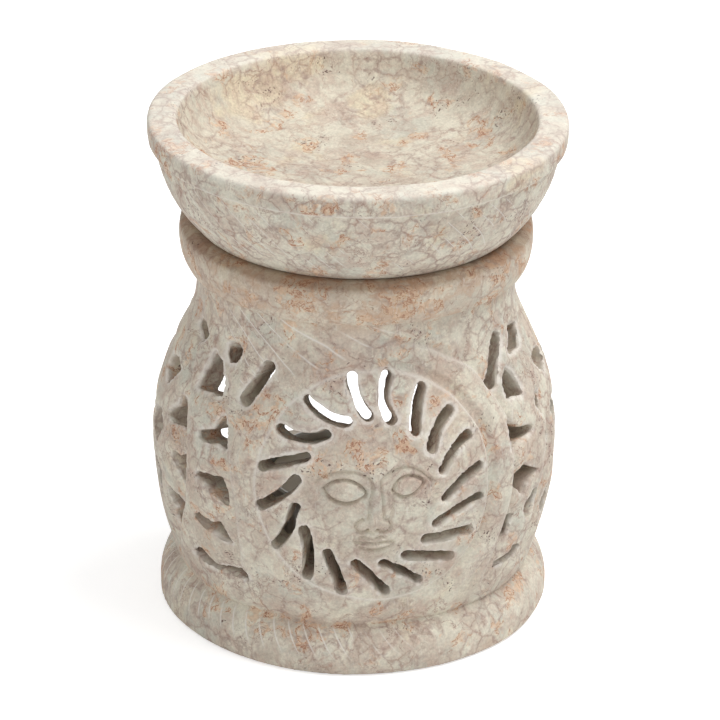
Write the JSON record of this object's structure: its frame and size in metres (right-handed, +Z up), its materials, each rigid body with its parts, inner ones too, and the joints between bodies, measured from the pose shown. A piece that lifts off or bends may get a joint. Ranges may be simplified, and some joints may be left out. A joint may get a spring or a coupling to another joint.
{
  "type": "essential oil burner",
  "caption": "Round soapstone oil burner with a pierced sun, side fretwork and a loose bowl over a tealight.",
  "frame": {"origin": "centre of the underside of the foot, on the surface it stands on", "axes": "+Z up along the turning axis, -Y towards the viewer of the carved sun, +Y out of the tealight doorway"},
  "size_m": [0.084, 0.084, 0.1054],
  "materials": {
    "body_stone": "matte",
    "bowl_stone": "matte",
    "cup_aluminium": "satin",
    "wax": "satin",
    "wick_cotton": "matte",
    "tinplate": "satin"
  },
  "bodies": {
    "body": {"pierced_body": "body_stone"},
    "bowl": {"oil_bowl": "bowl_stone"},
    "tealight": {"tealight_cup": "cup_aluminium", "tealight_wax": "wax", "tealight_wick": "wick_cotton", "wick_sustainer": "tinplate"}
  },
  "joints": [
    {"name": "bowl_lift", "type": "slide", "parent": "body", "child": "bowl", "axis": [0, 0, 1], "range_m": [0, 0.06]},
    {"name": "tealight_slide", "type": "slide", "parent": "body", "child": "tealight", "axis": [0, 1, 0], "range_m": [0, 0.0885]}
  ]
}
